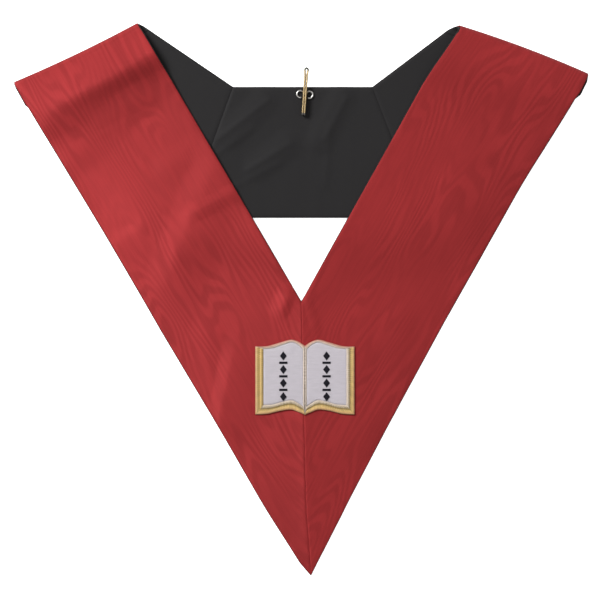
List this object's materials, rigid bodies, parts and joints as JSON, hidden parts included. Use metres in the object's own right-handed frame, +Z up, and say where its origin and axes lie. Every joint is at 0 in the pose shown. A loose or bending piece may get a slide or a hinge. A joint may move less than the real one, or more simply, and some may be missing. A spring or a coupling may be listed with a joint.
{
  "type": "masonic collar",
  "caption": "Pointed lodge collar of wide red watered ribbon with a black lining, an embroidered open book at the breast and a gilt wire hook on the neck band.",
  "frame": {"origin": "middle of the box around the collar as it lies, at the height of the surface it lies on", "axes": "+X to the right as the picture shows it, +Y from the point towards the neck band, +Z up"},
  "size_m": [0.4316, 0.4158, 0.0122],
  "materials": {
    "ribbon_red": "watered silk ribbon, soft sheen",
    "lining_black": "plain matt lining cloth",
    "gilt_thread": "gold satin stitch",
    "page_thread": "pale lilac-white stitching",
    "mark_thread": "black satin stitch",
    "gilt_wire": "polished gilt wire"
  },
  "bodies": {
    "root": {"ribbon_front_left": "ribbon_red", "lining_front_left": "lining_black", "ribbon_shoulder_left": "ribbon_red", "lining_shoulder_left": "lining_black", "ribbon_neck": "ribbon_red", "lining_neck": "lining_black", "ribbon_shoulder_right": "ribbon_red", "lining_shoulder_right": "lining_black", "ribbon_front_right": "ribbon_red", "lining_front_right": "lining_black", "book_gilt_frame": "gilt_thread", "book_page_left": "page_thread", "book_page_right": "page_thread", "book_page_left_lozenge_1": "mark_thread", "book_page_left_lozenge_2": "mark_thread", "book_page_left_lozenge_3": "mark_thread", "book_page_left_lozenge_4": "mark_thread", "book_page_left_bar_1": "mark_thread", "book_page_left_bar_2": "mark_thread", "book_page_left_bar_3": "mark_thread", "book_page_right_lozenge_1": "mark_thread", "book_page_right_lozenge_2": "mark_thread", "book_page_right_lozenge_3": "mark_thread", "book_page_right_lozenge_4": "mark_thread", "book_page_right_bar_1": "mark_thread", "book_page_right_bar_2": "mark_thread", "book_page_right_bar_3": "mark_thread", "coat_hook": "gilt_wire"}
  },
  "joints": []
}
